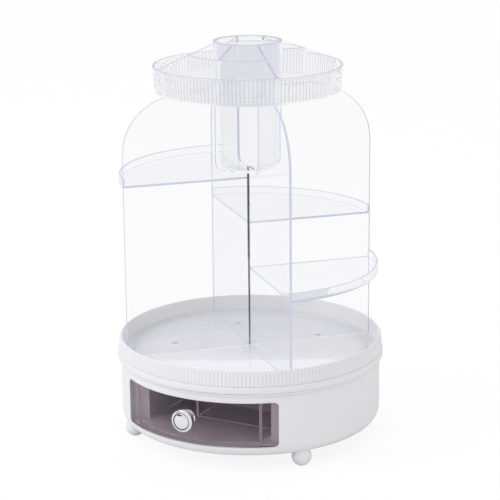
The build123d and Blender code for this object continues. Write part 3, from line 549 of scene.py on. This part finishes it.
# %% Brush cup
cup = turned(
    "brush_cup_clear",
    rounded(
        [
            (0, 231.85), (26.6, 231.85), (27.7, 298.85), (27.7, 340.5), (29, 340.5), (29, 341.35),
            (25.7, 341.35), (25.7, 298.85), (24.7, 234.85), (0, 234.85),
        ],
        [0, 7, 5, 0.2, 0.35, 0.35, 0.35, 5, 5, 0],
        8,
    ),
    192,
)
edged(cup, TRAY_RIM, 1)
placed(cup, "top", "clear_plastic", (cup_glass, glass_rim), "brush_cup")

# %% [markdown]
# ## Drawer
# The clear box keeps its CAD shape with its triangles joined; the knob is turned.

# %% Drawer and knob
drawer = smooth_copy("drawer_clear_box", "drawer_box", 30)
normals = np.zeros(len(drawer.data.polygons) * 3, np.float32)
drawer.data.polygons.foreach_get("normal", normals)
centres = np.zeros(len(drawer.data.polygons) * 3, np.float32)
drawer.data.polygons.foreach_get("center", centres)
x, y, z = centres.reshape(-1, 3).T / MM
front = np.hypot(x, y) > 108.0
# Painted light and shade on the drawer front: side and upward faces take the lit edge, downward faces the near-black
# painted shade.
kinds = np.where(front & (np.abs(normals[0::3]) > 0.8), 1, 0)
kinds = np.where(front & (normals[2::3] < -0.6), 2, kinds)
kinds = np.where(front & (normals[2::3] > 0.6), 1, kinds)
drawer.data.polygons.foreach_set("material_index", kinds.astype(np.int32))
placed(drawer, "drawer", "drawer_clear", (drawer_glass, drawer_edge_painted_lit, drawer_edge_painted_shade), "drawer_box")

KNOB_Y, KNOB_Z = -111.2, 44.8
knob_profile = rounded(
    [
        (0, 0.0), (6.5, 0.0), (6.5, 1.0), (4.9, 1.5), (4.6, 2.6), (4.6, 5.0), (9.5, 7.6), (9.5, 13.0), (7.4, 13.0),
        (7.25, 12.3), (0, 12.3),
    ],
    [0, 0.2, 0.3, 0.4, 0.5, 0.8, 1.0, 1.8, 0.2, 0, 0],
    8,
)
dome_t = np.linspace(0, 1, 24)
dome = np.vstack(
    (np.column_stack((6.8 * np.cos(dome_t * pi / 2), 12.3 + 1.8 * np.sin(dome_t * pi / 2))), (0, 12.2), (6.8, 12.2))
)
knob = made(
    "knob",
    *joined((turned_points(p, 128), quads(len(p), 128).tolist()) for p in (knob_profile, dome)),
    35,
    # The rows of the recess between rim and dome take the painted shade.
    np.repeat((np.arange(len(knob_profile) + len(dome)) > 70) & (np.arange(len(knob_profile) + len(dome)) < 88), 128),
)
knob.data.transform(
    Matrix.Translation((0, KNOB_Y * MM, KNOB_Z * MM)) @ Matrix.Rotation(radians(90), 4, "X")
)
placed(knob, "drawer", "chrome", (chrome, groove_painted_shade), "drawer_knob", "knob_dome")

# %% Materials of the CAD nodes that stay
for node, material, slot in (
    # The drawer cell takes the white with painted shade.
    ("drawer_cell", painted_shade_white, "white_plastic"),
    ("foot_screws", steel, "steel"),
    ("deck_screws", steel, "steel"),
    ("lower_race", race_white, "bearing_plastic"),
    ("upper_race", race_white, "bearing_plastic"),
    ("bearing_cage", race_white, "bearing_plastic"),
    ("bearing_balls", steel, "steel"),
    ("pivot_washer", steel, "steel"),
    ("pivot_screw", steel, "steel"),
    ("knob_screw", steel, "steel"),
    ("knob_washer", steel, "steel"),
):
    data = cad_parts[node].data
    data.materials.clear()
    data.materials.append(material)

# %% [markdown]
# ## Stage
# A pale floor, an even pale world and one soft lamp. Camera and glass rays see
# white; the rest of the light is a little weaker, so white plastic doesn't clip.

# %% Floor, world, lamp and camera


def seen_white(tree, strength):
    """Math nodes: 1 for camera and transmission rays, times strength."""
    path = tree.nodes.new("ShaderNodeLightPath")
    either = tree.nodes.new("ShaderNodeMath")
    either.operation = "MAXIMUM"
    tree.links.new(path.outputs["Is Camera Ray"], either.inputs[0])
    tree.links.new(path.outputs["Is Transmission Ray"], either.inputs[1])
    scaled = tree.nodes.new("ShaderNodeMath")
    scaled.operation = "MULTIPLY"
    tree.links.new(either.outputs[0], scaled.inputs[0])
    scaled.inputs[1].default_value = strength
    return scaled.outputs[0]


floor_mesh = bpy.data.meshes.new("floor")
floor_mesh.from_pydata([(-6, -6, 0), (6, -6, 0), (6, 6, 0), (-6, 6, 0)], [], [(0, 1, 2, 3)])
floor = bpy.data.objects.new("floor", floor_mesh)
scene.collection.objects.link(floor)
floor_material = bpy.data.materials.new("floor")
floor_material.use_nodes = True
tree = floor_material.node_tree
tree.nodes.remove(tree.nodes["Principled BSDF"])
matte = tree.nodes.new("ShaderNodeBsdfDiffuse")
matte.inputs["Color"].default_value = (0.9, 0.9, 0.9, 1)
glow = tree.nodes.new("ShaderNodeEmission")
glow.inputs["Strength"].default_value = 1.03
floor_mix = tree.nodes.new("ShaderNodeMixShader")
tree.links.new(seen_white(tree, 0.85), floor_mix.inputs[0])
tree.links.new(matte.outputs[0], floor_mix.inputs[1])
tree.links.new(glow.outputs[0], floor_mix.inputs[2])
tree.links.new(floor_mix.outputs[0], tree.nodes["Material Output"].inputs["Surface"])
floor_mesh.materials.append(floor_material)

world = bpy.data.worlds.new("studio")
scene.world = world
world.use_nodes = True
tree = world.node_tree
back = tree.nodes["Background"]
back.inputs["Color"].default_value = (1, 1, 1, 1)
WORLD_LIGHT = 0.82
level = tree.nodes.new("ShaderNodeMath")
level.operation = "ADD"
tree.links.new(seen_white(tree, 1 - WORLD_LIGHT), level.inputs[0])
level.inputs[1].default_value = WORLD_LIGHT
tree.links.new(level.outputs[0], back.inputs["Strength"])

lamp_data = bpy.data.lights.new("key", "AREA")
lamp_data.shape = "RECTANGLE"
lamp_data.size = 1.4
lamp_data.size_y = 1.4
lamp_data.energy = 13
lamp = bpy.data.objects.new("key", lamp_data)
scene.collection.objects.link(lamp)
lamp.location = (-1.3, -1.4, 1.6)
lamp.rotation_euler = (Vector((0, 0, 0.15)) - lamp.location).to_track_quat("-Z", "Y").to_euler()

card_mesh = bpy.data.meshes.new("card")
card_mesh.from_pydata([(-0.45, -0.35, 0), (0.45, -0.35, 0), (0.45, 0.35, 0), (-0.45, 0.35, 0)], [], [(0, 1, 2, 3)])
card = bpy.data.objects.new("card", card_mesh)
scene.collection.objects.link(card)
card.location = (-0.75, -0.95, 0.55)
card.rotation_euler = (Vector((0, -0.11, 0.045)) - card.location).to_track_quat("-Z", "Y").to_euler()
card_mesh.materials.append(plastic("card", (0.03, 0.03, 0.035), 0.9))
card.visible_camera = False
card.visible_diffuse = False
card.visible_transmission = False
card.visible_shadow = False

camera_data = bpy.data.cameras.new("camera")
camera_data.sensor_width = 36
camera_data.lens = 135.18
camera = bpy.data.objects.new("camera", camera_data)
scene.collection.objects.link(camera)
camera.matrix_world = (
    Matrix.Translation((0.7187, -1.3806, 0.5774))
    @ Matrix.Rotation(radians(27.5 - 0.017), 4, "Z")
    @ Matrix.Rotation(radians(90 - 15.01), 4, "X")
    @ Matrix.Rotation(radians(-0.548), 4, "Z")
)
scene.camera = camera

scene.view_settings.view_transform = "Standard"
